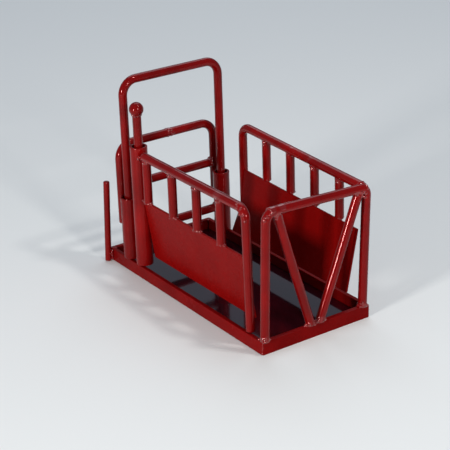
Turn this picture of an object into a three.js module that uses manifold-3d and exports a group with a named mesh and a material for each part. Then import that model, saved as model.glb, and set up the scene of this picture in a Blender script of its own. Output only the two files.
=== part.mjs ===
// Toy cattle squeeze chute, welded from round rod, tube, flat bar and sheet steel.
// Millimetres. +X runs to the rear, +Y to the far (fixed) side, +Z up.
// The origin is the middle of the base, on the surface that it stands on.
import * as THREE from 'three';
import { mergeVertices } from 'three/addons/utils/BufferGeometryUtils.js';
import Module from 'manifold-3d';

// Stock sizes
const ROD = 6.35; // 1/4 in round rod: arch, gates, panels and hinge pin
const THIN_ROD = 4.76; // 3/16 in round rod: connector post
const TUBE_OUTER = 12.7; // 1/2 in tube with a 1/16 in wall: sleeves
const TUBE_INNER = 9.5;
const SHEET = 1.6; // side sheets
const PLATE = 2; // floor plate
const BAR_WIDTH = 3.2; // flat bar on edge: base frame
const BAR_HEIGHT = 9.5;
const GAP = 0.3; // left between welded pieces
const ROUND_SIDES = 24; // facets round a rod or tube
const BEND_STEPS = 7; // segments in a bent corner

// Base
const BASE_LENGTH = 195;
const BASE_WIDTH = 91;
const ON_BASE = BAR_HEIGHT + GAP; // where pieces that stand on the base frame start

// Arch with the gate that slides on it
const ARCH_X = -72.1;
const ARCH_LEG_Y = 40.9;
const ARCH_TOP_Z = 145.6;
const ARCH_BEND = 11;
const GATE_X = ARCH_X - TUBE_OUTER / 2 - ROD / 2 - GAP;
const GATE_LEG_Y = 41.2;
const GATE_TOP_Z = 94.9;
const GATE_BEND = 11;
const GATE_JOINT_Y = 2; // where the two halves of the gate frame butt together
const GATE_LEG_END_Z = 34;
const GATE_MIDDLE_Z = 62.3;
const GATE_LOWER_Z = 29.2;
const GATE_SLEEVE_TOP_Z = 57.5;

// Connector post on the outer face of the near rail
const CONNECTOR_X = -95.6;
const CONNECTOR_TOP_Z = 63.5;
const CONNECTOR_LEAN = 2.8; // its top stands this far in over the base

// Hinge pin with the near panel that swings on it
const PIN_X = -55.9;
const PIN_Y = -40;
const PIN_SLEEVE_TOP_Z = 101.6;
const BALL_RADIUS = 5.2;
const BALL_Z = 128.9;
const BALL_FLAT_Z = -4.2; // the ball is ground flat here, below its centre, to sit on the pin
const NEAR_Y = -42;
const NEAR_RAIL_Z = 96.7;
const NEAR_RAIL_MITRE = { x: -46.3, angle: 0.735 }; // the rail's front end is cut aslant
const NEAR_FRONT_LEG_X = -42.7;
const NEAR_BARS_X = [-10, 20, 48.4];
const NEAR_REAR_LEG = { footX: 79.7, topX: 77.3 };
const NEAR_BEND = 8;
const NEAR_SHEET = {
  top: { y: -41.5, z: 62 },
  foot: { y: -34, z: 15.3 },
  outline: [[-49, 62], [-50, 15.3], [75, 15.3], [74.5, 62]],
};

// Fixed far panel, whose rail and sheet fall a little towards the rear
const FAR_Y = 41.2;
const FAR_RAIL_Z = 100.5; // at x = 0
const FAR_RAIL_FALL = 0.038;
const FAR_FRONT_LEG_X = -42.2;
const FAR_BARS_X = [-13.1, 15.3, 42.8, 70.1];
const FAR_BEND = 8;
const FAR_SHEET_FALL = 0.026;
const FAR_SHEET_TOP_Z = 67.9; // at x = 0
const FAR_SHEET_TOP_X = [-38.6, 91.9];
const farSheetTop = (x) => FAR_SHEET_TOP_Z - FAR_SHEET_FALL * x;
const FAR_SHEET = {
  top: { y: 39.8, z: FAR_SHEET_TOP_Z },
  foot: { y: 33, z: 18.9 },
  outline: [
    [FAR_SHEET_TOP_X[0], farSheetTop(FAR_SHEET_TOP_X[0])],
    [-38.6, 44],
    [-47.3, 18.9],
    [88.4, 18.7],
    [FAR_SHEET_TOP_X[1], farSheetTop(FAR_SHEET_TOP_X[1])],
  ],
};

// Rear gate, fixed across the end of the base
const REAR_X = 95.9;
const REAR_FOOT_Y = [-42.2, 40.6];
const REAR_LEAN = 2.8; // its top stands this far over towards the far side
const REAR_TOP_Z = 98; // at y = 0
const REAR_FALL = 0.044; // its top falls a little towards the far side
const REAR_BENDS = [7.5, 5];
const BRACES = { near: { footY: -4.2, topY: -31.7 }, far: { footY: 3.2, topY: 37.4 } };

const enamel = (colour, roughness) =>
  new THREE.MeshStandardMaterial({ color: colour, roughness, metalness: 0 });
const rodEnamel = enamel(0x7a0c12, 0.25);
const tubeEnamel = enamel(0x7d0d13, 0.25);
const sheetEnamel = enamel(0x74090f, 0.2);
const baseEnamel = enamel(0x700a10, 0.3);

const manifold = await Module();
manifold.setup();

const chute = new THREE.Group();
chute.name = 'toy_cattle_squeeze_chute';

function add(name, geometry, material) {
  const mesh = new THREE.Mesh(geometry, material.clone());
  mesh.name = name;
  chute.add(mesh);
  return mesh;
}

const point = (x, y, z) => new THREE.Vector3(x, y, z);

function circle(radius) {
  const shape = new THREE.Shape();
  shape.absarc(0, 0, radius, 0, 2 * Math.PI, false);
  return shape;
}

// The centreline of a rod bent in one plane: straight runs through the given corners, with a
// round bend at each inner corner. Stations lie only at the ends and along the bends.
class BentLine extends THREE.Curve {
  constructor(corners, bends) {
    super();
    this.stations = [corners[0]];
    this.tangents = [corners[1].clone().sub(corners[0]).normalize()];
    for (let i = 1; i < corners.length - 1; i++) this.addBend(corners, i, bends[i - 1]);
    this.stations.push(corners.at(-1));
    this.tangents.push(corners.at(-1).clone().sub(corners.at(-2)).normalize());
  }

  addBend(corners, i, bend) {
    const into = corners[i].clone().sub(corners[i - 1]).normalize();
    const out = corners[i + 1].clone().sub(corners[i]).normalize();
    const turn = into.angleTo(out);
    const start = corners[i].clone().addScaledVector(into, -bend * Math.tan(turn / 2));
    const inward = out.clone().addScaledVector(into, -out.dot(into)).normalize();
    for (let k = 0; k <= BEND_STEPS; k++) {
      const a = (turn * k) / BEND_STEPS;
      const along = bend * Math.sin(a);
      const across = bend * (1 - Math.cos(a));
      this.stations.push(start.clone().addScaledVector(into, along).addScaledVector(inward, across));
      const tangent = into.clone().multiplyScalar(Math.cos(a)).addScaledVector(inward, Math.sin(a));
      this.tangents.push(tangent);
    }
    this.plane = into.clone().cross(inward).normalize();
  }

  getSpacedPoints() {
    return this.stations;
  }

  computeFrenetFrames() {
    const side = this.plane ?? sideOf(this.tangents[0]);
    return {
      tangents: this.tangents,
      normals: this.tangents.map((t) => side.clone().cross(t).normalize()),
      binormals: this.tangents.map(() => side),
    };
  }
}

// Any unit vector square to a straight rod.
function sideOf(direction) {
  const helper = Math.abs(direction.z) > 0.9 ? point(1, 0, 0) : point(0, 0, 1);
  return helper.cross(direction).normalize();
}

function rodThrough(corners, bends = [], diameter = ROD) {
  const path = new BentLine(corners, bends);
  return new THREE.ExtrudeGeometry(circle(diameter / 2), {
    steps: path.stations.length - 1,
    curveSegments: ROUND_SIDES,
    bevelEnabled: false,
    extrudePath: path,
  });
}

// A geometry as a closed solid.
function solidOf(geometry) {
  const bare = new THREE.BufferGeometry();
  const flat = geometry.index ? geometry.toNonIndexed() : geometry;
  bare.setAttribute('position', flat.getAttribute('position'));
  const merged = mergeVertices(bare, 1e-3);
  const vertProperties = merged.getAttribute('position').array;
  const triVerts = new Uint32Array(merged.index.array);
  return new manifold.Manifold(new manifold.Mesh({ numProp: 3, vertProperties, triVerts }));
}

function cutAway(geometry, cutters) {
  const cut = cutters.reduce((solid, cutter) => solid.subtract(solidOf(cutter)), solidOf(geometry));
  const { vertProperties, triVerts } = cut.getMesh();
  const left = new THREE.BufferGeometry();
  left.setAttribute('position', new THREE.BufferAttribute(vertProperties, 3));
  left.setIndex(new THREE.BufferAttribute(triVerts, 1));
  left.computeVertexNormals();
  return left;
}

// A flat plate: an outline drawn across and up, with its thickness centred on that plane.
function plateFrom(outline, thickness) {
  const shape = new THREE.Shape(outline.map(([a, b]) => new THREE.Vector2(a, b)));
  const geometry = new THREE.ExtrudeGeometry(shape, { depth: thickness, bevelEnabled: false });
  return geometry.translate(0, 0, -thickness / 2);
}

function upright(name, x, y, z0, z1) {
  add(name, rodThrough([point(x, y, z0), point(x, y, z1)]), rodEnamel);
}

function sleeve(name, x, y, z0, z1) {
  const profile = [
    [TUBE_INNER / 2, 0],
    [TUBE_OUTER / 2, 0],
    [TUBE_OUTER / 2, z1 - z0],
    [TUBE_INNER / 2, z1 - z0],
    [TUBE_INNER / 2, 0],
  ].map(([r, z]) => new THREE.Vector2(r, z));
  const mesh = add(name, new THREE.LatheGeometry(profile, ROUND_SIDES), tubeEnamel);
  mesh.rotation.x = Math.PI / 2;
  mesh.position.set(x, y, z0);
}

// Four flat bars on edge, mitred at the corners, round a floor plate.
function buildBase() {
  const halfLength = BASE_LENGTH / 2;
  const halfWidth = BASE_WIDTH / 2;
  const rail = (name, half, x, y, turn) => {
    const outline = [
      [-half + GAP, 0],
      [half - GAP, 0],
      [half - GAP - BAR_WIDTH, BAR_WIDTH],
      [-half + GAP + BAR_WIDTH, BAR_WIDTH],
    ];
    const geometry = plateFrom(outline, BAR_HEIGHT).translate(0, 0, BAR_HEIGHT / 2);
    const mesh = add(name, geometry, baseEnamel);
    mesh.rotation.z = turn;
    mesh.position.set(x, y, 0);
  };
  rail('base_rail_near', halfLength, 0, -halfWidth, 0);
  rail('base_rail_far', halfLength, 0, halfWidth, Math.PI);
  rail('base_rail_rear', halfWidth, halfLength, 0, Math.PI / 2);
  rail('base_rail_front', halfWidth, -halfLength, 0, -Math.PI / 2);

  const inner = BAR_WIDTH + GAP;
  const floor = new THREE.BoxGeometry(BASE_LENGTH - 2 * inner, BASE_WIDTH - 2 * inner, PLATE);
  add('floor_plate', floor, baseEnamel).position.z = PLATE / 2;

  const slope = CONNECTOR_LEAN / CONNECTOR_TOP_Z;
  const touchY = -halfWidth - THIN_ROD / 2 - GAP;
  const ends = [THIN_ROD * slope, CONNECTOR_TOP_Z].map((z) =>
    point(CONNECTOR_X, touchY + slope * (z - BAR_HEIGHT), z),
  );
  add('connector_post', rodThrough(ends, [], THIN_ROD), rodEnamel);
}

function buildArch() {
  const corners = [
    point(ARCH_X, -ARCH_LEG_Y, ON_BASE),
    point(ARCH_X, -ARCH_LEG_Y, ARCH_TOP_Z),
    point(ARCH_X, ARCH_LEG_Y, ARCH_TOP_Z),
    point(ARCH_X, ARCH_LEG_Y, ON_BASE),
  ];
  add('arch', rodThrough(corners, [ARCH_BEND, ARCH_BEND]), rodEnamel);
}

// The guillotine gate: a frame of two bent halves, two crossbars and two sleeves on the arch.
function buildSlidingGate() {
  const half = (name, legY, jointY) => {
    const corners = [
      point(GATE_X, legY, GATE_LEG_END_Z),
      point(GATE_X, legY, GATE_TOP_Z),
      point(GATE_X, jointY, GATE_TOP_Z),
    ];
    add(name, rodThrough(corners, [GATE_BEND]), rodEnamel);
  };
  half('gate_frame_near', -GATE_LEG_Y, GATE_JOINT_Y - GAP / 2);
  half('gate_frame_far', GATE_LEG_Y, GATE_JOINT_Y + GAP / 2);

  const middleHalf = GATE_LEG_Y - ROD / 2 - GAP;
  const middle = [point(GATE_X, -middleHalf, GATE_MIDDLE_Z), point(GATE_X, middleHalf, GATE_MIDDLE_Z)];
  add('gate_middle_bar', rodThrough(middle), rodEnamel);

  const lowerHalf = ARCH_LEG_Y - TUBE_OUTER / 2 - GAP;
  const lower = [point(ARCH_X, -lowerHalf, GATE_LOWER_Z), point(ARCH_X, lowerHalf, GATE_LOWER_Z)];
  add('gate_lower_bar', rodThrough(lower), rodEnamel);

  sleeve('gate_sleeve_near', ARCH_X, -ARCH_LEG_Y, ON_BASE, GATE_SLEEVE_TOP_Z);
  sleeve('gate_sleeve_far', ARCH_X, ARCH_LEG_Y, ON_BASE, GATE_SLEEVE_TOP_Z);
}

function buildHingePin() {
  upright('hinge_pin', PIN_X, PIN_Y, ON_BASE, BALL_Z + BALL_FLAT_Z - GAP);
  const profile = [new THREE.Vector2(0, BALL_FLAT_Z)];
  const rings = 14;
  const startAngle = Math.asin(BALL_FLAT_Z / BALL_RADIUS);
  for (let i = 0; i <= rings; i++) {
    const a = startAngle + ((Math.PI / 2 - startAngle) * i) / rings;
    const radius = i === rings ? 0 : BALL_RADIUS * Math.cos(a);
    profile.push(new THREE.Vector2(radius, BALL_RADIUS * Math.sin(a)));
  }
  const ball = add('pin_ball', new THREE.LatheGeometry(profile, ROUND_SIDES), rodEnamel);
  ball.rotation.x = Math.PI / 2;
  ball.position.set(PIN_X, PIN_Y, BALL_Z);
}

// A side sheet that leans in towards its foot. Its outline is given as seen from the side.
function sideSheet(name, { top, foot, outline }) {
  const rise = top.z - foot.z;
  const stretch = Math.hypot(rise, top.y - foot.y) / rise;
  const flat = outline.map(([x, z]) => [x, (z - top.z) * stretch]);
  const mesh = add(name, plateFrom(flat, SHEET), sheetEnamel);
  mesh.rotation.x = Math.PI / 2 + Math.atan2(foot.y - top.y, rise);
  mesh.position.set(0, top.y, top.z);
}

function buildNearPanel() {
  sleeve('panel_sleeve', PIN_X, PIN_Y, ON_BASE, PIN_SLEEVE_TOP_Z);
  const { x: mitreX, angle } = NEAR_RAIL_MITRE;
  const corners = [
    point(mitreX - 2 * ROD, NEAR_Y, NEAR_RAIL_Z),
    point(NEAR_REAR_LEG.topX, NEAR_Y, NEAR_RAIL_Z),
    point(NEAR_REAR_LEG.footX, NEAR_Y, ON_BASE + GAP),
  ];
  const cut = new THREE.BoxGeometry(8 * ROD, 2 * ROD, 8 * ROD).translate(-4 * ROD, 0, 0);
  cut.rotateY(angle).translate(mitreX, NEAR_Y, NEAR_RAIL_Z);
  add('near_panel_frame', cutAway(rodThrough(corners, [NEAR_BEND]), [cut]), rodEnamel);
  const z0 = NEAR_SHEET.top.z + GAP;
  const z1 = NEAR_RAIL_Z - ROD / 2 - GAP;
  upright('near_panel_front_leg', NEAR_FRONT_LEG_X, NEAR_Y, z0, z1);
  NEAR_BARS_X.forEach((x, i) => upright(`near_panel_bar_${i + 1}`, x, NEAR_Y, z0, z1));
  sideSheet('near_panel_sheet', NEAR_SHEET);
}

function buildFarPanel() {
  const railZ = (x) => FAR_RAIL_Z - FAR_RAIL_FALL * x;
  const railEnd = REAR_X - ROD / 2 - GAP;
  const corners = [
    point(FAR_FRONT_LEG_X, FAR_Y, ON_BASE),
    point(FAR_FRONT_LEG_X, FAR_Y, railZ(FAR_FRONT_LEG_X)),
    point(railEnd, FAR_Y, railZ(railEnd)),
  ];
  add('far_panel_frame', rodThrough(corners, [FAR_BEND]), rodEnamel);
  FAR_BARS_X.forEach((x, i) => {
    const z0 = farSheetTop(x) + 2 * GAP;
    const z1 = railZ(x) - ROD / 2 - 2 * GAP;
    upright(`far_panel_bar_${i + 1}`, x, FAR_Y, z0, z1);
  });
  sideSheet('far_panel_sheet', FAR_SHEET);
}

function buildRearGate() {
  const topZ = (y) => REAR_TOP_Z - REAR_FALL * y;
  const [nearY, farY] = REAR_FOOT_Y;
  const corners = [
    point(REAR_X, nearY, ON_BASE),
    point(REAR_X, nearY + REAR_LEAN, topZ(nearY)),
    point(REAR_X, farY + REAR_LEAN, topZ(farY)),
    point(REAR_X, farY, ON_BASE),
  ];
  add('rear_gate_frame', rodThrough(corners, REAR_BENDS), rodEnamel);
  const clearance = rodThrough(corners, REAR_BENDS, ROD + 2 * GAP);
  const belowFoot = new THREE.BoxGeometry(BASE_LENGTH + 2 * ROD, BASE_WIDTH, 2 * ON_BASE);
  for (const [side, { footY, topY }] of Object.entries(BRACES)) {
    const foot = point(REAR_X, footY, BAR_HEIGHT);
    const top = point(REAR_X, topY, topZ(topY));
    const start = foot.clone().lerp(top, -ROD / foot.distanceTo(top));
    const brace = cutAway(rodThrough([start, top]), [clearance, belowFoot]);
    add(`rear_brace_${side}`, brace, rodEnamel);
  }
}

buildBase();
buildArch();
buildSlidingGate();
buildHingePin();
buildNearPanel();
buildFarPanel();
buildRearGate();

export default chute;
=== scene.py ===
# Toy cattle squeeze chute: smooth rods, tubes and sheets, weld beads and glossy enamel around
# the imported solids. Sizes below are in millimetres and become metres when a mesh is made.
import math
import random

import bmesh
import bpy
import numpy as np
from mathutils import Matrix, Vector, noise


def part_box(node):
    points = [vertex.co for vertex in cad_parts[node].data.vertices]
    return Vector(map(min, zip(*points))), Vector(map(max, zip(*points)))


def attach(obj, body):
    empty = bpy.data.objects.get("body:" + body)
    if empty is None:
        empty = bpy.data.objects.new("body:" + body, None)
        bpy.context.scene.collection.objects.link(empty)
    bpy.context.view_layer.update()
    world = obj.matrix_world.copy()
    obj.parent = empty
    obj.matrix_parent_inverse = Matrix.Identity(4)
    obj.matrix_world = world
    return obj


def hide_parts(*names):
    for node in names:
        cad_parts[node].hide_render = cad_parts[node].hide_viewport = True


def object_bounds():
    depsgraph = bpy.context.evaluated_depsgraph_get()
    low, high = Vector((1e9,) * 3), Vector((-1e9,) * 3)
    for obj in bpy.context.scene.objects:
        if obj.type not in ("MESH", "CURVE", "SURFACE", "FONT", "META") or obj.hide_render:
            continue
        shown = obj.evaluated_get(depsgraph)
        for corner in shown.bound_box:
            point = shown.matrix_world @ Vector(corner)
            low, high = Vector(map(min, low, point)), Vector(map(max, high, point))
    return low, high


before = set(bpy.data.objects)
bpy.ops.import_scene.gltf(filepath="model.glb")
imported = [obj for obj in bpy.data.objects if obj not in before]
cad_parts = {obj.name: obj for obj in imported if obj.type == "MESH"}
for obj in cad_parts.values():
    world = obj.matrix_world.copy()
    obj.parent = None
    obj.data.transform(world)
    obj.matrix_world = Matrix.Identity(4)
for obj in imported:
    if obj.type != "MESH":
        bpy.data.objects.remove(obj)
cad_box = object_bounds()

MM = 0.001
BOX_LO, BOX_HI = (np.array(corner) / MM for corner in cad_box)

# Stock and bends, as in the CAD
ROD_R = 3.175
TUBE_INNER_R = 4.75
GAP = 0.3  # between a foot and the rail that it stands on
ARCH_BENDS = (11.0, 11.0)
GATE_BENDS = (11.0,)
NEAR_BENDS = (8.0,)
FAR_BENDS = (8.0,)
REAR_BENDS = (7.5, 5.0)

# Leans and falls, as in the CAD
NEAR_LEAN = 2.4  # how far the near panel's rear leg spreads at its foot
FAR_RAIL_FALL = 0.038
REAR_FALL = 0.044
REAR_LEAN = 2.8
CREST = 0.6  # a falling rail is highest this share of its bend's radius along
MITRE_SLANT = 0.906
BRACES = (("near", -4.2, -31.7), ("far", 3.2, 37.4))  # y at the foot and at the top
BRACE_FOOT_CUT, BRACE_HEAD_CUT = 0.6, 2.2

# How finely things are drawn, and how the thick enamel wanders from a true surface
ROD_SIDES = 40
TUBE_SIDES = 56
BEND_STEPS = 14
ROUNDING_STEPS = 4
TUBE_LIP = 0.55
WAVE = 0.05
WAVE_LENGTH = 7.0
BALL_WAVE_LENGTH = 5.0
SLANT_FADE = 14.0  # an end that is cut aslant turns square over this length

# Weld blobs
KEEP_IN = 0.85  # share of a blob's radius that stays inside the CAD's box
SINK = 0.2  # share of its radius that a bead on a rod sinks into it

UP = Vector((0, 0, 1))
AHEAD = Vector((1, 0, 0))
ACROSS = Vector((0, 1, 0))


def node_box(node):
    """A CAD node's lowest and highest corners in millimetres."""
    lo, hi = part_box(node)
    return np.array(lo) / MM, np.array(hi) / MM


def middle(node):
    lo, hi = node_box(node)
    return (lo + hi) / 2


# ---------------------------------------------------------------- materials

SHEEN = (1.0, 0.34, 0.34)  # what the red lacquer gives back of a white light


def enamel(name, colour, roughness, peel, specular=0.34, coat=0.08, mottle=1.0, sheen=SHEEN):
    """Thick glossy enamel: slow colour drift, pooled darker patches, soft orange peel."""
    material = bpy.data.materials.new(name)
    material.use_nodes = True
    nodes, links = material.node_tree.nodes, material.node_tree.links
    shader = nodes["Principled BSDF"]
    place = nodes.new("ShaderNodeTexCoord")

    def texture(scale, detail):
        made = nodes.new("ShaderNodeTexNoise")
        made.inputs["Scale"].default_value = scale
        made.inputs["Detail"].default_value = detail
        links.new(place.outputs["Object"], made.inputs["Vector"])
        return made

    drift = texture(38, 3)
    ramp = nodes.new("ShaderNodeValToRGB")
    deep = [c * (1 - 0.28 * mottle) for c in colour]
    lit = [c * (1 + 0.24 * mottle) for c in colour]
    ramp.color_ramp.elements[0].position = 0.3
    ramp.color_ramp.elements[0].color = (*deep, 1)
    ramp.color_ramp.elements[1].position = 0.72
    ramp.color_ramp.elements[1].color = (*lit, 1)
    links.new(drift.outputs["Fac"], ramp.inputs["Fac"])
    links.new(ramp.outputs["Color"], shader.inputs["Base Color"])

    rub = texture(120, 4)
    spread = nodes.new("ShaderNodeMapRange")
    spread.inputs["To Min"].default_value = roughness * 0.75
    spread.inputs["To Max"].default_value = roughness * 1.35
    links.new(rub.outputs["Fac"], spread.inputs["Value"])
    links.new(spread.outputs["Result"], shader.inputs["Roughness"])

    runs = texture(95, 2)
    skin = texture(900, 2)
    low = nodes.new("ShaderNodeBump")
    low.inputs["Strength"].default_value = peel
    low.inputs["Distance"].default_value = 0.0004
    links.new(runs.outputs["Fac"], low.inputs["Height"])
    fine = nodes.new("ShaderNodeBump")
    fine.inputs["Strength"].default_value = peel * 0.35
    fine.inputs["Distance"].default_value = 0.00005
    links.new(skin.outputs["Fac"], fine.inputs["Height"])
    links.new(low.outputs["Normal"], fine.inputs["Normal"])
    links.new(fine.outputs["Normal"], shader.inputs["Normal"])

    shader.inputs["Metallic"].default_value = 0
    shader.inputs["IOR"].default_value = 1.45
    shader.inputs["Specular IOR Level"].default_value = specular
    shader.inputs["Specular Tint"].default_value = (*sheen, 1)
    shader.inputs["Coat Weight"].default_value = coat
    shader.inputs["Coat Roughness"].default_value = 0.03
    return material


ROD_PAINT = enamel("rod_enamel", (0.15, 0.0018, 0.0019), 0.12, 0.3)
TUBE_PAINT = enamel("tube_enamel", (0.158, 0.0018, 0.0019), 0.12, 0.32)
SHEET_PAINT = enamel(
    "sheet_enamel", (0.168, 0.002, 0.0018), 0.26, 0.16, specular=0.04, coat=0.0, mottle=0.35
)
BASE_PAINT = enamel(
    "base_enamel", (0.15, 0.002, 0.0021), 0.24, 0.22, specular=0.05, coat=0.0, mottle=0.7
)
# Floor plate: very dark enamel under a strong sheen; the blue cast in its base colour and its
# bluish sheen are a painted reflection of a blue sky
FLOOR_PAINT = enamel(
    "floor_enamel",
    (0.014, 0.001, 0.0032),
    0.08,
    0.05,
    specular=1.0,
    coat=0.45,
    sheen=(0.76, 0.78, 1.0),
)
WELD_PAINT = enamel("weld_enamel", (0.15, 0.002, 0.0021), 0.09, 0.08, specular=0.8, coat=0.8)
PAINTS = {
    "rod_enamel": ROD_PAINT,
    "tube_enamel": TUBE_PAINT,
    "sheet_enamel": SHEET_PAINT,
    "base_enamel": BASE_PAINT,
}

# ---------------------------------------------------------------- meshes


def finish_piece(name, mesh, body, slot, replaces=(), paint=None, sharp=40):
    """Links a mesh as a piece that rides on a body and stands for CAD nodes."""
    for polygon in mesh.polygons:
        polygon.use_smooth = True
    mesh.set_sharp_from_angle(angle=math.radians(sharp))
    piece = bpy.data.objects.new(name, mesh)
    bpy.context.scene.collection.objects.link(piece)
    mesh.materials.append(paint or PAINTS[slot])
    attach(piece, body)
    if replaces:
        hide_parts(*replaces)


def mesh_from(name, points, faces):
    mesh = bpy.data.meshes.new(name)
    mesh.from_pydata([tuple(Vector(p) * MM) for p in points], [], faces)
    mesh.update()
    return mesh


def bent_path(corners, bends=(), step=2.2):
    """Stations (point, tangent) along straight runs joined by round bends."""
    corners = [Vector(c) for c in corners]
    runs = []
    start = corners[0]
    for i, bend in zip(range(1, len(corners) - 1), bends):
        into = (corners[i] - corners[i - 1]).normalized()
        out = (corners[i + 1] - corners[i]).normalized()
        turn = into.angle(out)
        begin = corners[i] - into * bend * math.tan(turn / 2)
        runs.append(("line", start, begin))
        inward = (out - into * out.dot(into)).normalized()
        runs.append(("arc", begin, into, inward, turn, bend))
        start = corners[i] + out * bend * math.tan(turn / 2)
    runs.append(("line", start, corners[-1]))
    stations = []
    for run in runs:
        if run[0] == "line":
            length = (run[2] - run[1]).length
            count = max(2, round(length / step))
            tangent = (run[2] - run[1]).normalized()
            places = [run[1].lerp(run[2], k / count) for k in range(count + 1)]
            stations += [(p, tangent) for p in places]
        else:
            _, begin, into, inward, turn, bend = run
            for k in range(1, BEND_STEPS):
                a = turn * k / BEND_STEPS
                offset = into * math.sin(a) * bend + inward * (1 - math.cos(a)) * bend
                stations.append((begin + offset, into * math.cos(a) + inward * math.sin(a)))
    return stations


def quarter_turn():
    """Angles from nothing to a right angle, for a rounded edge."""
    return [math.pi / 2 * k / ROUNDING_STEPS for k in range(ROUNDING_STEPS + 1)]


def sweep(name, stations, radius, soft, slant):
    """A round rod along stations, with its cut ends rounded over by `soft` millimetres.

    `slant` cuts the first end aslant: it leads by this much per millimetre of height.
    """
    (first, first_way), (last, last_way) = stations[0], stations[-1]
    head, tail = [], []
    for a in quarter_turn():
        back, drop = (soft[0] * (1 - math.sin(a)), soft[0] * (1 - math.cos(a)))
        head.insert(0, (first + first_way * back, first_way, radius - drop))
        back, drop = (soft[1] * (1 - math.sin(a)), soft[1] * (1 - math.cos(a)))
        tail.append((last - last_way * back, last_way, radius - drop))
    body = [
        (p, t, radius)
        for p, t in stations
        if (p - first).length > soft[0] * 1.3 and (p - last).length > soft[1] * 1.3
    ]
    rings = head + body + tail
    tangent = rings[0][1]
    helper = Vector((0, 0, 1)) if abs(tangent.z) < 0.9 else Vector((1, 0, 0))
    side = helper.cross(tangent).normalized()
    points, faces = [], []
    for centre, direction, r in rings:
        side = (side - direction * side.dot(direction)).normalized()
        other = direction.cross(side)
        for j in range(ROD_SIDES):
            a = 2 * math.pi * j / ROD_SIDES
            out = side * math.cos(a) + other * math.sin(a)
            base = centre + out * r
            push = WAVE * noise.noise(base / WAVE_LENGTH)
            near_start = max(0.0, 1 - (centre - first).length / SLANT_FADE)
            aslant = direction * slant * near_start * (out.z * r)
            points.append(base + out * push + aslant)
    count = len(rings)
    for i in range(count - 1):
        for j in range(ROD_SIDES):
            a, b = i * ROD_SIDES + j, i * ROD_SIDES + (j + 1) % ROD_SIDES
            faces.append((a, b, b + ROD_SIDES, a + ROD_SIDES))
    points += [rings[0][0], rings[-1][0]]
    end = (count - 1) * ROD_SIDES
    for j in range(ROD_SIDES):
        faces.append((len(points) - 2, (j + 1) % ROD_SIDES, j))
        faces.append((len(points) - 1, end + j, end + (j + 1) % ROD_SIDES))
    return mesh_from(name, points, faces)


def lathe(name, centre, profile):
    """Turns a closed profile of (radius, z) pairs round a vertical axis."""
    points, faces = [], []
    for r, z in profile:
        for j in range(TUBE_SIDES):
            a = 2 * math.pi * j / TUBE_SIDES
            out = Vector((math.cos(a), math.sin(a), 0))
            base = Vector((centre[0], centre[1], z)) + out * r
            points.append(base + out * WAVE * noise.noise(base / WAVE_LENGTH))
    count = len(profile)
    for i in range(count):
        here, after = i * TUBE_SIDES, (i + 1) % count * TUBE_SIDES
        for j in range(TUBE_SIDES):
            n = (j + 1) % TUBE_SIDES
            faces.append((here + j, here + n, after + n, after + j))
    return mesh_from(name, points, faces)


def sleeve(name, body):
    """A tube with rounded lips, as long and as wide as its CAD node."""
    lo, hi = node_box(name)
    centre = (lo + hi) / 2
    outer, inner, lip = (hi[0] - lo[0]) / 2, TUBE_INNER_R, TUBE_LIP
    z0, z1 = lo[2], hi[2]
    arc = quarter_turn()
    profile = [(outer - lip * (1 - math.sin(a)), z0 + lip * (1 - math.cos(a))) for a in arc]
    steps = max(2, int((z1 - z0) / 3))
    profile += [(outer, z0 + (z1 - z0) * k / steps) for k in range(1, steps)]
    profile += [(outer - lip * (1 - math.cos(a)), z1 - lip * (1 - math.sin(a))) for a in arc]
    profile += [(inner + lip * (1 - math.sin(a)), z1 - lip * (1 - math.cos(a))) for a in arc]
    profile += [(inner + lip * (1 - math.cos(a)), z0 + lip * (1 - math.sin(a))) for a in arc]
    mesh = lathe(name + "_tube", centre, profile)
    clean_normals(mesh)
    finish_piece(name + "_tube", mesh, body, "tube_enamel", [name])


def clean_normals(mesh):
    bm = bmesh.new()
    bm.from_mesh(mesh)
    bmesh.ops.remove_doubles(bm, verts=bm.verts, dist=1e-7)
    bmesh.ops.recalc_face_normals(bm, faces=bm.faces)
    bm.to_mesh(mesh)
    bm.free()


def rod(node, body, corners, bends=(), radius=ROD_R, soft=(0.5, 0.5), slant=0.0):
    """A round rod that stands for a CAD node, bent at the inner corners."""
    name = node + "_rod"
    mesh = sweep(name, bent_path(corners, bends), radius, soft, slant)
    clean_normals(mesh)
    finish_piece(name, mesh, body, "rod_enamel", [node])


# ---------------------------------------------------------------- weld beads


def ball_into(bm, centre, radius):
    turn = Matrix.Translation(Vector(centre) * MM)
    bmesh.ops.create_icosphere(bm, subdivisions=2, radius=radius * MM, matrix=turn)


def stub_into(bm, start, end, radius):
    """A short length of rod, closed at both ends."""
    start, end = Vector(start), Vector(end)
    along = (end - start).normalized()
    turn = along.to_track_quat("Z", "Y").to_matrix().to_4x4()
    place = Matrix.Translation((start + end) / 2 * MM) @ turn
    bmesh.ops.create_cone(
        bm,
        cap_ends=True,
        segments=32,
        radius1=radius * MM,
        radius2=radius * MM,
        depth=(end - start).length * MM,
        matrix=place,
    )


def block_into(bm, lo, hi):
    centre = (Vector(lo) + Vector(hi)) / 2 * MM
    size = [(h - l) * MM for l, h in zip(lo, hi)]
    scale = Matrix.Diagonal((*size, 1))
    bmesh.ops.create_cube(bm, size=1, matrix=Matrix.Translation(centre) @ scale)


def ring_spots(centre, axis, radius, size, count, seed, lift=0.0):
    """Overlapping blobs of weld round a rod's end, uneven in size and place."""
    draw = random.Random(seed)
    axis = Vector(axis).normalized()
    helper = Vector((0, 0, 1)) if abs(axis.z) < 0.9 else Vector((1, 0, 0))
    side = helper.cross(axis).normalized()
    other = axis.cross(side)
    spots = []
    for k in range(count):
        share = (k + draw.uniform(-0.25, 0.25)) / count
        a = math.radians(360 * share)
        r = radius + draw.uniform(-0.15, 0.25)
        out = side * math.cos(a) + other * math.sin(a)
        place = Vector(centre) + out * r + axis * (lift + draw.uniform(-0.2, 0.2))
        spots.append((place, size * draw.uniform(0.8, 1.2)))
    return spots


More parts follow.
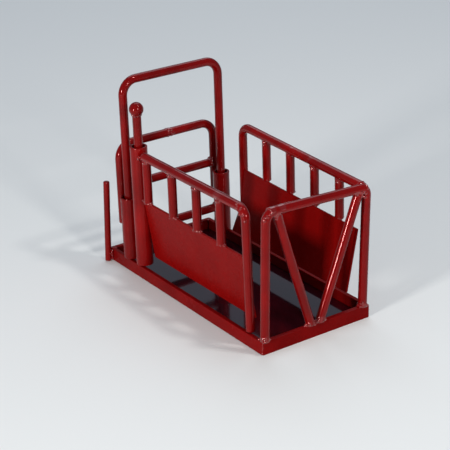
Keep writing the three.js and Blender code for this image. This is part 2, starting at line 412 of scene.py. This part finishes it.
def weld(name, body, spots, stubs=(), blocks=(), slot="rod_enamel", voxel=0.34, smooth=5):
    """One weld under enamel: blobs, with stubs of the pieces that they join, melted together."""
    bm = bmesh.new()
    for centre, radius in spots:
        inside = [
            min(max(c, low + KEEP_IN * radius), high - KEEP_IN * radius)
            for c, low, high in zip(centre, BOX_LO, BOX_HI)
        ]
        ball_into(bm, inside, radius)
    for start, end, radius in stubs:
        stub_into(bm, start, end, radius)
    for lo, hi in blocks:
        block_into(bm, lo, hi)
    rough = bpy.data.meshes.new(name)
    bm.to_mesh(rough)
    bm.free()
    holder = bpy.data.objects.new(name, rough)
    bpy.context.scene.collection.objects.link(holder)
    remesh = holder.modifiers.new("melt", "REMESH")
    remesh.mode = "VOXEL"
    remesh.voxel_size = voxel * MM
    relax = holder.modifiers.new("relax", "SMOOTH")
    relax.factor = 0.5
    relax.iterations = smooth
    seen = holder.evaluated_get(bpy.context.evaluated_depsgraph_get())
    mesh = bpy.data.meshes.new_from_object(seen)
    bpy.data.objects.remove(holder)
    mesh.name = name
    mesh.materials.clear()
    finish_piece(name, mesh, body, slot, paint=WELD_PAINT, sharp=180)


def snap(place, radius, stations):
    """A blob near `place`, moved until it stands just proud of the nearest rod's paint."""
    place = Vector(place)
    centre, along = min(stations, key=lambda station: (station[0] - place).length)
    out = place - centre
    out -= along * out.dot(along)
    level = centre + along * (place - centre).dot(along)
    return level + out.normalized() * (ROD_R - SINK * radius), radius


# ---------------------------------------------------------------- the pieces, from the CAD boxes

MAIN, GATE, SLEEVE, PANEL = "chute_frame", "sliding_gate", "hinge_sleeve", "side_panel"
arch_lo, arch_hi = node_box("arch")
ARCH_X = (arch_lo[0] + arch_hi[0]) / 2
ARCH_Y = arch_hi[1] - ROD_R
ARCH_TOP = arch_hi[2] - ROD_R
FOOT = arch_lo[2] - GAP  # top of the base rails, which the feet stand on
gate_lo, gate_hi = node_box("gate_frame_near")
GATE_X = (gate_lo[0] + gate_hi[0]) / 2
GATE_LEG_Y = -gate_lo[1] - ROD_R
GATE_TOP = gate_hi[2] - ROD_R
GATE_END = gate_lo[2]
GATE_JOINT = gate_hi[1]
PIN_X, PIN_Y, _ = middle("hinge_pin")
near_lo, near_hi = node_box("near_panel_frame")
NEAR_Y = (near_lo[1] + near_hi[1]) / 2
NEAR_RAIL = near_hi[2] - ROD_R
NEAR_FOOT_X = near_hi[0] - ROD_R
NEAR_TOP_X = NEAR_FOOT_X - NEAR_LEAN
MITRE_X = near_lo[0] + MITRE_SLANT * ROD_R
far_lo, far_hi = node_box("far_panel_frame")
FAR_Y = (far_lo[1] + far_hi[1]) / 2
FAR_FRONT = far_lo[0] + ROD_R
rear_lo, rear_hi = node_box("rear_gate_frame")
REAR_X = (rear_lo[0] + rear_hi[0]) / 2
REAR_NEAR_Y = rear_lo[1] + ROD_R
REAR_FAR_Y = rear_hi[1] - ROD_R - REAR_LEAN
REAR_TOP_NEAR = rear_hi[2] - ROD_R + REAR_FALL * REAR_BENDS[0] * CREST
PLATE_END = node_box("floor_plate")[1][0]
BASE_END = node_box("base_rail_rear")[1][0]
BASE_SIDE = -node_box("base_rail_near")[0][1]


def rear_top(y):
    """Height of the rear gate's top rail."""
    return REAR_TOP_NEAR - REAR_FALL * (y - REAR_NEAR_Y - REAR_LEAN)


def far_rail(x):
    """Height of the far panel's rail."""
    top = far_hi[2] - ROD_R + FAR_RAIL_FALL * FAR_BENDS[0] * CREST
    return top - FAR_RAIL_FALL * (x - FAR_FRONT)


def upright(node, body, reach=0.5):
    """A vertical rod that reaches a little into its neighbours. Returns its CAD ends."""
    lo, hi = node_box(node)
    x, y = (lo[0] + hi[0]) / 2, (lo[1] + hi[1]) / 2
    rod(node, body, [(x, y, lo[2] - reach), (x, y, hi[2] + reach)])
    return Vector((x, y, lo[2])), Vector((x, y, hi[2]))


# Arch
arch_corners = [
    (ARCH_X, -ARCH_Y, FOOT),
    (ARCH_X, -ARCH_Y, ARCH_TOP),
    (ARCH_X, ARCH_Y, ARCH_TOP),
    (ARCH_X, ARCH_Y, FOOT),
]
rod("arch", MAIN, arch_corners, ARCH_BENDS)

# Sliding gate
for side, y in (("near", -GATE_LEG_Y), ("far", GATE_LEG_Y)):
    corners = [(GATE_X, y, GATE_END), (GATE_X, y, GATE_TOP), (GATE_X, GATE_JOINT, GATE_TOP)]
    rod("gate_frame_" + side, GATE, corners, GATE_BENDS, soft=(0.7, 0.4))
for bar in ("gate_middle_bar", "gate_lower_bar"):
    lo, hi = node_box(bar)
    x, z = (lo[0] + hi[0]) / 2, (lo[2] + hi[2]) / 2
    rod(bar, GATE, [(x, lo[1] - 0.6, z), (x, hi[1] + 0.6, z)])
sleeve("gate_sleeve_near", GATE)
sleeve("gate_sleeve_far", GATE)

# Hinge pin, ball and sleeve
pin_top = node_box("hinge_pin")[1][2]
rod("hinge_pin", MAIN, [(PIN_X, PIN_Y, FOOT), (PIN_X, PIN_Y, pin_top + 1)])
ball_lo, ball_hi = node_box("pin_ball")
BALL_R = (ball_hi[0] - ball_lo[0]) / 2
ball_centre = Vector((PIN_X, PIN_Y, ball_hi[2] - BALL_R)) * MM
bm = bmesh.new()
bmesh.ops.create_uvsphere(
    bm,
    u_segments=48,
    v_segments=32,
    radius=BALL_R * MM,
    matrix=Matrix.Translation(ball_centre),
)
ball_flat = (ball_lo[2] - 0.05) * MM
for vertex in bm.verts:
    vertex.co.z = max(vertex.co.z, ball_flat)
    push = noise.noise(vertex.co / MM / BALL_WAVE_LENGTH) * WAVE * MM
    vertex.co += (vertex.co - ball_centre).normalized() * push
bmesh.ops.remove_doubles(bm, verts=bm.verts, dist=1e-6)
ball_mesh = bpy.data.meshes.new("pin_ball_turned")
bm.to_mesh(ball_mesh)
bm.free()
finish_piece("pin_ball_turned", ball_mesh, MAIN, "rod_enamel", ["pin_ball"], sharp=50)
sleeve("panel_sleeve", SLEEVE)

# Near panel
near_corners = [
    (MITRE_X, NEAR_Y, NEAR_RAIL),
    (NEAR_TOP_X, NEAR_Y, NEAR_RAIL),
    (NEAR_FOOT_X, NEAR_Y, near_lo[2]),
]
rod("near_panel_frame", PANEL, near_corners, NEAR_BENDS, soft=(0.4, 0.7), slant=MITRE_SLANT)
near_joints = [upright("near_panel_front_leg", PANEL)]
near_joints += [upright(f"near_panel_bar_{k}", PANEL) for k in (1, 2, 3)]

# Far panel
far_end = far_hi[0]
far_corners = [
    (FAR_FRONT, FAR_Y, FOOT),
    (FAR_FRONT, FAR_Y, far_rail(FAR_FRONT)),
    (far_end + 0.5, FAR_Y, far_rail(far_end)),
]
rod("far_panel_frame", MAIN, far_corners, FAR_BENDS)
far_joints = [upright(f"far_panel_bar_{k}", MAIN, 0.8) for k in (1, 2, 3, 4)]

# Rear gate
rear_corners = [
    (REAR_X, REAR_NEAR_Y, FOOT),
    (REAR_X, REAR_NEAR_Y + REAR_LEAN, rear_top(REAR_NEAR_Y)),
    (REAR_X, REAR_FAR_Y + REAR_LEAN, rear_top(REAR_FAR_Y)),
    (REAR_X, REAR_FAR_Y, FOOT),
]
rod("rear_gate_frame", MAIN, rear_corners, REAR_BENDS)
braces = []
for side, foot_y, top_y in BRACES:
    foot = Vector((REAR_X, foot_y, FOOT))
    top = Vector((REAR_X, top_y, rear_top(top_y)))
    along = (top - foot).normalized()
    foot = foot + along * BRACE_FOOT_CUT
    top = top - along * BRACE_HEAD_CUT
    rod("rear_brace_" + side, MAIN, [foot, top])
    braces.append((side, foot, top, along))

# Flat pieces keep their CAD shape, with the edges rounded under the paint
FLAT_PIECES = [("floor_plate", FLOOR_PAINT, 0.2)]
FLAT_PIECES += [
    (f"base_rail_{side}", BASE_PAINT, 0.55) for side in ("near", "far", "rear", "front")
]
FLAT_PIECES += [(f"{side}_panel_sheet", SHEET_PAINT, 0.5) for side in ("near", "far")]
for node, paint, width in FLAT_PIECES:
    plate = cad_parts[node]
    plate.data.materials.clear()
    plate.data.materials.append(paint)
    merge = plate.modifiers.new("merge", "WELD")
    merge.merge_threshold = 2e-6
    edge = plate.modifiers.new("edge", "BEVEL")
    edge.width = width * MM
    edge.segments = 4
    edge.limit_method = "ANGLE"
    edge.angle_limit = math.radians(40)
    edge.harden_normals = False
    normals = plate.modifiers.new("normals", "WEIGHTED_NORMAL")
    normals.keep_sharp = False
    for polygon in plate.data.polygons:
        polygon.use_smooth = True

# Connector post
post_lo, post_hi = node_box("connector_post")
POST_R = (post_hi[0] - post_lo[0]) / 2
post_x = (post_lo[0] + post_hi[0]) / 2
post_ends = [
    (post_x, post_lo[1] + POST_R, post_lo[2]),
    (post_x, post_hi[1] - POST_R, post_hi[2]),
]
rod("connector_post", MAIN, post_ends, radius=POST_R, soft=(0.4, 1.2))

# ---------------------------------------------------------------- welds

# Feet hidden by the sleeves, small enough for the sleeves to pass
for name, x, y in (
    ("arch_near", ARCH_X, -ARCH_Y),
    ("arch_far", ARCH_X, ARCH_Y),
    ("pin", PIN_X, PIN_Y),
):
    outward = math.copysign(1.9, y)
    spots = [((x + dx, y + outward, FOOT + 0.3), 0.75) for dx in (-2.9, -2.4, 2.4, 2.9)]
    stub = [((x, y, FOOT - 0.6), (x, y, FOOT + 2.4), ROD_R)]
    weld("weld_foot_" + name, MAIN, spots, stub, voxel=0.3)

# Ball on its pin
neck = Vector((PIN_X, PIN_Y, ball_lo[2]))
spots = ring_spots(neck, UP, radius=3.1, size=0.85, count=9, seed=5, lift=0.1)
weld("weld_ball", MAIN, spots, [(neck - UP * 1.5, neck + UP * 1.2, ROD_R)])

# Feet of the far panel's leg and the rear posts; beads are (y from the post, up, radius)
FOOT_BEADS = {
    "far_leg": [],
    "rear_near": [(-0.7, 3.6, 1.0), (0.9, 1.5, 1.2), (3.2, 1.2, 1.2)],
    "rear_far": [(-1.7, 4.4, 1.0), (1.3, 1.6, 1.1), (-3.4, 1.0, 1.1)],
}
for name, x, y, seed in (
    ("far_leg", FAR_FRONT, FAR_Y, 11),
    ("rear_near", REAR_X, REAR_NEAR_Y, 12),
    ("rear_far", REAR_X, REAR_FAR_Y, 13),
):
    draw = random.Random(seed)
    outward = math.copysign(1.6, y)
    spots = []
    for dx in (-2.9, 2.9):
        for k in range(3):
            place = (x + dx + draw.uniform(-0.3, 0.3), y + outward * (k - 0.6), FOOT + 0.5)
            spots.append((place, draw.uniform(1.0, 1.4)))
    post_line = bent_path([(x, y, FOOT), (x, y, FOOT + 20)])
    spots += [snap((x + 2.3, y + dy, FOOT + up), r, post_line) for dy, up, r in FOOT_BEADS[name]]
    if name != "far_leg":
        inward = -math.copysign(3.0, y)
        for k in range(3):
            place = (x + 0.9 - 0.8 * k, y + inward, FOOT + 0.4)
            spots.append((place, draw.uniform(1.0, 1.5)))
    stub = [((x, y, FOOT - 0.4), (x, y, FOOT + 3.4), ROD_R)]
    weld("weld_foot_" + name, MAIN, spots, stub)

# Feet and heads of the rear braces; beads are (y, z)
BRACE_BEADS = {"near": [(-7.4, 11.2), (-2.8, 9.9)], "far": [(-0.3, 11.9), (2.8, 10.1)]}
CORNER_BEADS = {
    "near": [
        (-37.2, 99.0),
        (-42.4, 95.8),
        (-43.6, 97.4),
        (-39.6, 97.6),
        (-32.2, 97.0),
        (-33.6, 94.6),
    ],
    "far": [(33.0, 94.2), (37.5, 92.3), (41.0, 93.2), (41.9, 96.2), (39.4, 95.4)],
}
# Beads where the far rail meets the rear gate: (x, y, up) from the rail's end
RAIL_END_BEADS = ((-2.5, -0.3, 1.8), (-1.5, 0.4, 1.3), (-0.4, 1.2, 0.7), (-1.8, 2.0, 0.5))
for side, foot, top, along in braces:
    draw = random.Random(31 if side == "near" else 37)
    spots = []
    for dy in (-3.9, -3.2, 3.2, 4.0):
        place = (REAR_X + draw.uniform(-0.4, 0.9), foot.y + dy, FOOT + 0.55)
        spots.append((place, draw.uniform(1.1, 1.55)))
    lines = bent_path([foot, top]) + bent_path(rear_corners, REAR_BENDS)
    spots += [snap((REAR_X + 2.3, y, z), 1.2, lines) for y, z in BRACE_BEADS[side]]
    stub = [(foot - along * 0.4, foot + along * 4.0, ROD_R)]
    rail_lo = (REAR_X - 0.9, foot.y - 6, FOOT - 1.2)
    rail_hi = (PLATE_END + 3.4, foot.y + 6, FOOT - 0.05)
    weld("weld_brace_foot_" + side, MAIN, spots, stub, [(rail_lo, rail_hi)])

    spots = ring_spots(top + along * 0.6, along, radius=3.3, size=1.15, count=10, seed=41)
    bar = (
        Vector((REAR_X, top.y - 6.0, rear_top(top.y - 6.0))),
        Vector((REAR_X, top.y + (6.0 if side == "near" else -1.0), rear_top(top.y))),
        ROD_R,
    )
    stubs = [(top - along * 3.6, top + along * 1.2, ROD_R), bar]
    if side == "far":
        y = REAR_FAR_Y + REAR_LEAN * 0.92
        stubs.append(((REAR_X, y, top.z - 9), (REAR_X, y, top.z - 3), ROD_R))
        spots += [((REAR_X + dx, y - 3.2, top.z - 3.6), 1.2) for dx in (-1.6, 0.2, 1.8)]
        spots += [((REAR_X + dx, y - 0.6, rear_top(y) + 1.0), 1.6) for dx in (-1.2, 0.6)]
        spots += [
            ((REAR_X + dx, FAR_Y + dy, far_rail(far_end) + rise), 1.5)
            for dx, dy, rise in RAIL_END_BEADS
        ]
    spots += [snap((REAR_X + 2.3, y, z), 1.3, lines) for y, z in CORNER_BEADS[side]]
    weld("weld_brace_head_" + side, MAIN, spots, stubs)

# The bars of both panels
for k, (foot, head) in enumerate(near_joints):
    ahead = 3 if k == 0 else 5  # the first bar is close to the rail's cut end
    rail = (
        Vector((head.x - ahead, NEAR_Y, NEAR_RAIL)),
        Vector((head.x + 5, NEAR_Y, NEAR_RAIL)),
        ROD_R,
    )
    spots = ring_spots(head + UP * 0.5, UP, radius=2.9, size=0.75, count=12, seed=60 + k)
    weld(f"weld_near_head_{k}", PANEL, spots, [(head - UP * 3, head + UP * 0.8, ROD_R), rail])
    spots = [(foot + Vector((dx, 0.4, -0.1)), 1.15) for dx in (-3.7, -3.0, 3.1, 3.8)]
    spots += ring_spots(foot, UP, radius=3.0, size=0.7, count=8, seed=70 + k)
    weld(f"weld_near_foot_{k}", PANEL, spots, [(foot - UP * 0.4, foot + UP * 3, ROD_R)])
for k, (foot, head) in enumerate(far_joints):
    z = far_rail(head.x)
    rail = (Vector((head.x - 5, FAR_Y, z + 0.19)), Vector((head.x + 5, FAR_Y, z - 0.19)), ROD_R)
    spots = ring_spots(head + UP * 0.5, UP, radius=2.8, size=0.75, count=12, seed=80 + k)
    if k != 1:  # the second bar's weld has no bead on its inner side
        spots.append((head + Vector((0.9, 0.75 - ROD_R, -1.2)), 1.1))
    weld(f"weld_far_head_{k + 1}", MAIN, spots, [(head - UP * 3, head + UP * 0.8, ROD_R), rail])
    spots = ring_spots(foot, UP, radius=2.85, size=0.65, count=8, seed=90 + k)
    spots += [(foot + Vector((2.3, dy, -0.9)), 0.9) for dy in (-1.3, -0.2)]
    weld(f"weld_far_foot_{k + 1}", MAIN, spots, [(foot - UP * 0.4, foot + UP * 3, ROD_R)])

# Near rail on its sleeve, its front leg on the sheet, its rear bend, far rail on the rear gate
draw = random.Random(101)
spots = []
for k in range(9):
    a = math.radians(100 + 20 * k)
    rise = 3.3 * math.cos(a)
    place = (
        MITRE_X + MITRE_SLANT * rise - 0.5,
        NEAR_Y + 3.3 * math.sin(a) * (1 if k < 5 else 1.06),
        NEAR_RAIL + rise,
    )
    spots.append((place, draw.uniform(1.15, 1.5)))
start = Vector((MITRE_X + 2.6, NEAR_Y, NEAR_RAIL))
weld("weld_near_rail", PANEL, spots, [(start, start + AHEAD * 3.4, ROD_R)])
leg_foot = near_joints[0][0]
spots = [
    (leg_foot + Vector((dx, -0.6, 0.4 - 0.2 * k)), 1.3)
    for k, dx in enumerate((-6.0, -4.9, -3.8))
]
weld("weld_near_leg", PANEL, spots)
bend = NEAR_BENDS[0]
lines = bent_path(near_corners, NEAR_BENDS, step=0.8)
spots = []
for turn, side_on in ((8, 40), (35, 44), (62, 48), (84, 40), (50, 112), (20, 70)):
    around, across = math.radians(turn), math.radians(side_on)
    spread = bend + 3 * math.cos(across)
    place = (
        NEAR_TOP_X - bend + spread * math.sin(around),
        NEAR_Y - 3 * math.sin(across),
        NEAR_RAIL - bend + spread * math.cos(around),
    )
    spots.append(snap(place, 1.2, lines))
weld("weld_near_corner", PANEL, spots)
end = Vector((far_end + 0.2, FAR_Y, far_rail(far_end)))
spots = ring_spots(end, AHEAD, radius=2.6, size=0.95, count=12, seed=102)
stubs = [(end - AHEAD * 3.6, end + AHEAD * 0.5, ROD_R)]
weld("weld_far_rail", MAIN, spots, stubs)

# The near sheet's rear edge tacked to its leg
SHEET_TOP_Y, SHEET_TOP_Z, SHEET_SLOPE = -41.2, 62, 0.16  # the near sheet leans in downwards
sheet_end = node_box("near_panel_sheet")[1][0]
for k, z in enumerate((57.5, 50.0)):
    place = Vector((sheet_end + 0.3, SHEET_TOP_Y + (SHEET_TOP_Z - z) * SHEET_SLOPE, z))
    spots = [(place + Vector((0, 0, dz)), 1.0) for dz in (-1.2, 0, 1.1)]
    weld(f"weld_near_sheet_{k + 1}", PANEL, spots)

# Gate: legs against sleeves, bars between legs, the butt in its top bar
for side, sign in (("near", -1), ("far", 1)):
    y = sign * (GATE_LEG_Y + ARCH_Y) / 2
    contact_x = GATE_X + ROD_R + 0.1
    draw = random.Random(110 + sign)
    spots = []
    for z0 in (GATE_END + 1.5, 53.0):
        for k in range(3):
            for dy in (-1.9, 1.9):
                place = (contact_x, y + dy, z0 + 1.5 * k + draw.uniform(-0.3, 0.3))
                spots.append((place, draw.uniform(0.95, 1.3)))
    weld("weld_gate_sleeve_" + side, GATE, spots)
    for bar, x, reach in (("middle", GATE_X, GATE_LEG_Y), ("lower", ARCH_X, ARCH_Y)):
        lo, hi = node_box(f"gate_{bar}_bar")
        z = (lo[2] + hi[2]) / 2
        at = Vector((x, sign * hi[1], z))
        out = Vector((0, sign, 0))
        spots = ring_spots(at, out, radius=3.25, size=1.0, count=12, seed=120 + sign)
        stubs = [(at - out * 3.2, at + out * 0.7, ROD_R)]
        if bar == "middle":
            leg = Vector((GATE_X, sign * GATE_LEG_Y, z))
            stubs.append((leg - UP * 5, leg + UP * 5, ROD_R))
        weld(f"weld_gate_{bar}_{side}", GATE, spots, stubs)
joint = Vector((GATE_X, GATE_JOINT, GATE_TOP))
spots = []
for k, shift in enumerate((-2.8, -1.4, 0.0, 1.5, 2.9)):
    spread = 2.5 - 0.05 * shift * shift
    ring = joint + ACROSS * shift
    spots += ring_spots(ring, ACROSS, spread, size=1.05, count=10, seed=131 + k)
weld("weld_gate_top", GATE, spots, [(joint - ACROSS * 5, joint + ACROSS * 5, ROD_R)], smooth=8)

# Base corners and the connector post
for name, sx, sy, seed in (
    ("near_rear", 1, -1, 141),
    ("far_rear", 1, 1, 142),
    ("near_front", -1, -1, 143),
    ("far_front", -1, 1, 144),
):
    draw = random.Random(seed)
    x, y = sx * (BASE_END - 0.75), sy * (BASE_SIDE - 0.75)
    spots = []
    for k in range(6):
        place = (x + draw.uniform(-0.2, 0.2), y + draw.uniform(-0.2, 0.2), 1.1 + 1.45 * k)
        spots.append((place, draw.uniform(0.75, 1.0)))
    for k in range(4):
        place = (x - sx * k, y - sy * k, FOOT - 0.55)
        spots.append((place, draw.uniform(0.7, 0.95)))
    weld("weld_base_" + name, MAIN, spots, slot="base_enamel")
draw = random.Random(151)
spots = []
for k in range(6):
    for dx in (-1.9, 1.9):
        place = (post_x + dx, -BASE_SIDE - 0.55, 1.3 + 1.35 * k + draw.uniform(-0.2, 0.2))
        spots.append((place, draw.uniform(0.75, 1.05)))
spots += [((post_x + 2.7, -BASE_SIDE - 0.8, z), 1.35) for z in (2.1, 5.0, 8.0)]
weld("weld_post", MAIN, spots, slot="base_enamel")

# ---------------------------------------------------------------- stage, lights and camera


def plain(name, colour, roughness):
    material = bpy.data.materials.new(name)
    material.use_nodes = True
    shader = material.node_tree.nodes["Principled BSDF"]
    shader.inputs["Base Color"].default_value = (*colour, 1)
    shader.inputs["Roughness"].default_value = roughness
    return material


FLOOR_HALF, FLOOR_Z = 6000, -0.05
floor_corners = [
    (sx * FLOOR_HALF, sy * FLOOR_HALF, FLOOR_Z)
    for sx, sy in ((-1, -1), (1, -1), (1, 1), (-1, 1))
]
floor_mesh = mesh_from("studio_floor", floor_corners, [(0, 1, 2, 3)])
floor = bpy.data.objects.new("studio_floor", floor_mesh)
bpy.context.scene.collection.objects.link(floor)
floor_mesh.materials.append(plain("pale_floor", (0.74, 0.75, 0.74), 0.65))

world = bpy.data.worlds.new("studio")
bpy.context.scene.world = world
world.use_nodes = True
sky = world.node_tree.nodes["Background"]
sky.inputs["Color"].default_value = (0.78, 0.87, 1.0, 1)
sky.inputs["Strength"].default_value = 0.26

# The photo's camera, fitted to the object
AZIMUTH, ELEVATION, ROLL = 55.95, 23.49, -1.93
LENS = 114.8
EYE = Vector((771.4, -527.1, 454.4)) * MM
LAMP_AIM = Vector((0, 0, 0.05))  # metres
azimuth, elevation, roll = (math.radians(a) for a in (AZIMUTH, ELEVATION, ROLL))
forward = Vector(
    (
        -math.sin(azimuth) * math.cos(elevation),
        math.cos(azimuth) * math.cos(elevation),
        -math.sin(elevation),
    )
)
level = forward.cross(UP).normalized()
upward = level.cross(forward)
right = level * math.cos(roll) + upward * math.sin(roll)
above = upward * math.cos(roll) - level * math.sin(roll)


def area_light(name, direction, distance, size, power, colour=(1, 0.98, 0.95)):
    """A square softbox that faces the object from `direction`."""
    away = Vector(direction).normalized()
    data = bpy.data.lights.new(name, "AREA")
    data.shape = "SQUARE"
    data.size = size
    data.energy = power
    data.color = colour
    lamp = bpy.data.objects.new(name, data)
    bpy.context.scene.collection.objects.link(lamp)
    lamp.location = LAMP_AIM + away * distance
    lamp.rotation_euler = (-away).to_track_quat("-Z", "Y").to_euler()


def seen_from_camera(to_right, to_above, towards):
    """A direction given in the camera's own terms."""
    return right * to_right + above * to_above - forward * towards


area_light("softbox_left", (0.25, -0.95, 0.22), 1.4, 0.2, 16.0)
area_light("softbox_right", (0.95, -0.1, 0.4), 1.5, 0.2, 8.0)
area_light("spark_right", seen_from_camera(0.4, 0.72, 0.55), 1.1, 0.1, 3.0)
area_light("overhead", (-0.5, 0.35, 0.85), 2.6, 2.1, 25.0, (0.84, 0.91, 1.0))

camera_data = bpy.data.cameras.new("camera")
camera = bpy.data.objects.new("camera", camera_data)
bpy.context.scene.collection.objects.link(camera)
camera_data.lens = LENS
camera_data.sensor_width = 36
camera_data.clip_start = 0.01
camera_data.clip_end = 50
turn = Matrix((right, above, -forward)).transposed().to_4x4()
camera.matrix_world = Matrix.Translation(EYE) @ turn
bpy.context.scene.camera = camera
bpy.context.scene.view_settings.view_transform = "Standard"
